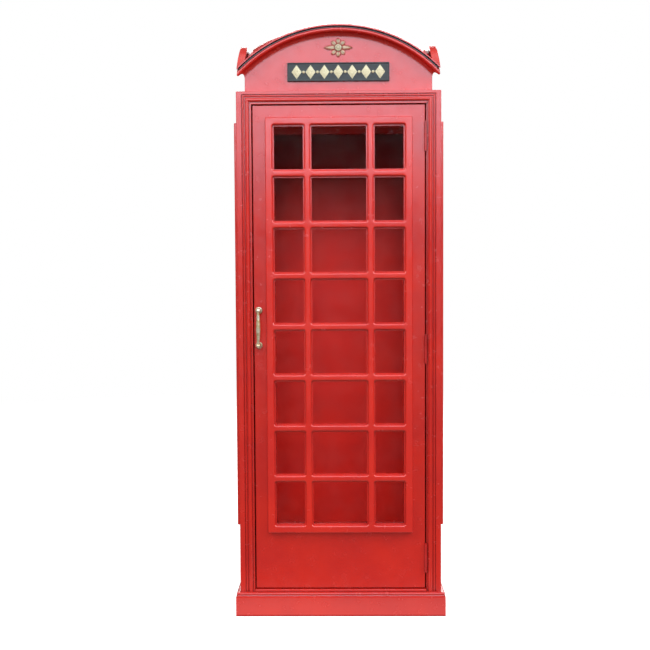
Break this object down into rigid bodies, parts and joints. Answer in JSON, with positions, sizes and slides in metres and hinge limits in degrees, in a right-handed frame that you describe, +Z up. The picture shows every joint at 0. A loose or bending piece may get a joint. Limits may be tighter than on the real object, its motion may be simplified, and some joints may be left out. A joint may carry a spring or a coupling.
{
  "type": "telephone booth",
  "caption": "Square telephone booth with a glazed, hinged front door, glazed sides, arched gables, a sail dome, a blank patterned sign and a bow pull handle.",
  "frame": {"origin": "on the ground, under the middle of the square cabin", "axes": "+Z up; -Y out of the front, where the door is; +X to the right of someone facing the door"},
  "size_m": [0.758, 0.771, 2.1759],
  "materials": {
    "red_enamel": "timber and board under semi-gloss red enamel, slight orange peel, edges worn a little",
    "bare_timber": "planed softwood and plywood, unpainted",
    "clear_glass": "clear float glass, smooth",
    "aged_brass": "polished brass, browned in the hollows",
    "painted_hinge": "steel hinge painted over with the door's red enamel",
    "zinc_steel": "zinc-plated steel, satin",
    "black_enamel": "cast plate under worn satin black enamel",
    "gilt": "raised relief in aged gold paint, rubbed at the edges",
    "red_cast_iron": "cast relief under red enamel with gold on its high places"
  },
  "bodies": {
    "cabin": {"plinth_front": "red_enamel", "plinth_back": "red_enamel", "plinth_left": "red_enamel", "plinth_right": "red_enamel", "base_rails": "bare_timber", "floor_joist": "bare_timber", "floor_board": "bare_timber", "door_sill": "red_enamel", "post_front_left": "red_enamel", "post_front_right": "red_enamel", "post_back_left": "red_enamel", "post_back_right": "red_enamel", "door_header": "red_enamel", "wall_headers": "red_enamel", "casing_left": "red_enamel", "casing_right": "red_enamel", "casing_top": "red_enamel", "door_stops": "red_enamel", "stiles_left": "red_enamel", "stiles_right": "red_enamel", "top_rail_left": "red_enamel", "top_rail_right": "red_enamel", "lower_panel_left": "red_enamel", "lower_panel_right": "red_enamel", "grille_left": "red_enamel", "grille_right": "red_enamel", "glass_left": "clear_glass", "glass_right": "clear_glass", "back_panel": "red_enamel", "back_cleats": "red_enamel", "ceiling_board": "red_enamel", "gable_front": "red_enamel", "gable_back": "red_enamel", "gable_left": "red_enamel", "gable_right": "red_enamel", "arch_front": "red_enamel", "arch_back": "red_enamel", "arch_left": "red_enamel", "arch_right": "red_enamel", "roof_dome": "red_enamel", "sign_plate": "black_enamel", "sign_relief": "gilt", "ornament": "red_cast_iron", "catch_body": "zinc_steel", "hinge_frame_leaves": "painted_hinge", "hinge_pins": "painted_hinge", "hinge_frame_screws": "zinc_steel"},
    "door": {"door_hinge_stile": "red_enamel", "door_latch_stile": "red_enamel", "door_top_rail": "red_enamel", "door_lower_panel": "red_enamel", "door_grille": "red_enamel", "door_glass": "clear_glass", "handle_grip": "aged_brass", "handle_bases": "aged_brass", "handle_bolts": "zinc_steel", "hinge_door_leaves": "painted_hinge", "hinge_door_screws": "zinc_steel", "catch_plate": "zinc_steel"}
  },
  "joints": [
    {"name": "door_hinge", "type": "hinge", "parent": "cabin", "child": "door", "pos_m": [0.305, -0.359, 0.9565], "axis": [0, 0, 1], "range_deg": [0, 100]}
  ]
}
